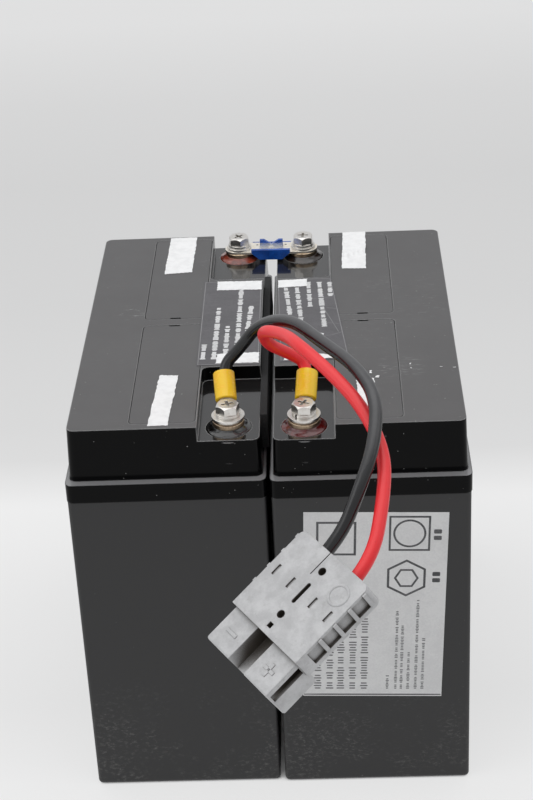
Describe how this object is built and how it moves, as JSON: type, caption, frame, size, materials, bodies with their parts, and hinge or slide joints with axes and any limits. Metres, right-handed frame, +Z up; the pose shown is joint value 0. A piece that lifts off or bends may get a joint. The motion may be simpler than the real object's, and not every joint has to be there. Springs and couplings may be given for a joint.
{
  "type": "ups battery cartridge",
  "caption": "Two upright sealed lead-acid blocks side by side, bridged by a bolted strip fuse at the back, with a red and black lead to a grey two-pole connector.",
  "frame": {"origin": "middle of the base of the two blocks, on the surface they stand on", "axes": "+Z up, +Y to the rear, where the fuse is, +X to the right seen from the front, where the lead leaves"},
  "size_m": [0.1536, 0.3087, 0.2154],
  "materials": {
    "case_plastic": "moulded ABS with a fine satin texture, light dust and scuffs",
    "lid_plastic": "moulded ABS, satin top with dust, glossier sides",
    "cover_plastic": "moulded ABS with a satin grain",
    "valve_rubber": "smooth moulded rubber",
    "lead_dioxide": "pasted plate, dull brown",
    "spongy_lead": "pasted plate, dull grey",
    "strap_lead": "cast lead, dull grey",
    "post_metal": "tinned brass insert, tan rim",
    "glass_mat": "soft white glass-fibre mat",
    "red_epoxy": "glossy poured resin, dark red",
    "black_epoxy": "glossy poured resin, black",
    "top_label_film": "printed film, dark grey with plain pale bars",
    "front_label_film": "silver-grey printed film with plain dark bars",
    "paper_tape": "torn paper tape left on the top",
    "plated_steel": "zinc-plated steel",
    "tinned_copper": "tin-plated copper",
    "yellow_sleeve": "moulded vinyl sleeve",
    "black_cable_jacket": "satin flexible jacket",
    "red_cable_jacket": "satin flexible jacket",
    "tin_plated_link": "tin-plated strip",
    "blue_plastic": "moulded blue plastic",
    "clear_window": "clear moulded cover",
    "housing_plastic": "moulded light grey plastic with a fine grain",
    "silvered_contact": "silver-plated copper",
    "spring_steel": "flat stainless spring",
    "black_foam": "dense closed-cell foam tape"
  },
  "bodies": {
    "root": {"left_case": "case_plastic", "left_lid": "lid_plastic", "left_vent_cover_front": "cover_plastic", "left_vent_cover_rear": "cover_plastic", "left_valve_caps": "valve_rubber", "left_positive_plates": "lead_dioxide", "left_negative_plates": "spongy_lead", "left_separators": "glass_mat", "left_cell_straps": "strap_lead", "left_post_positive": "post_metal", "left_post_negative": "post_metal", "left_seal_positive": "red_epoxy", "left_seal_negative": "black_epoxy", "left_top_label": "top_label_film", "left_tape_scraps": "paper_tape", "right_case": "case_plastic", "right_lid": "lid_plastic", "right_vent_cover_front": "cover_plastic", "right_vent_cover_rear": "cover_plastic", "right_valve_caps": "valve_rubber", "right_positive_plates": "lead_dioxide", "right_negative_plates": "spongy_lead", "right_separators": "glass_mat", "right_cell_straps": "strap_lead", "right_post_positive": "post_metal", "right_post_negative": "post_metal", "right_seal_positive": "red_epoxy", "right_seal_negative": "black_epoxy", "right_top_label": "top_label_film", "right_tape_scraps": "paper_tape", "right_front_label": "front_label_film", "post_o_rings": "valve_rubber", "terminal_bolts": "plated_steel", "spring_washers": "plated_steel", "flat_washers": "plated_steel", "black_lug": "tinned_copper", "red_lug": "tinned_copper", "black_lug_sleeve": "yellow_sleeve", "red_lug_sleeve": "yellow_sleeve", "black_cable": "black_cable_jacket", "red_cable": "red_cable_jacket", "fuse_link": "tin_plated_link", "fuse_body": "blue_plastic", "fuse_window": "clear_window", "connector_housing": "housing_plastic", "black_contact": "silvered_contact", "red_contact": "silvered_contact", "contact_springs": "spring_steel", "foam_pads": "black_foam", "gap_foam_strip": "black_foam"}
  },
  "joints": []
}
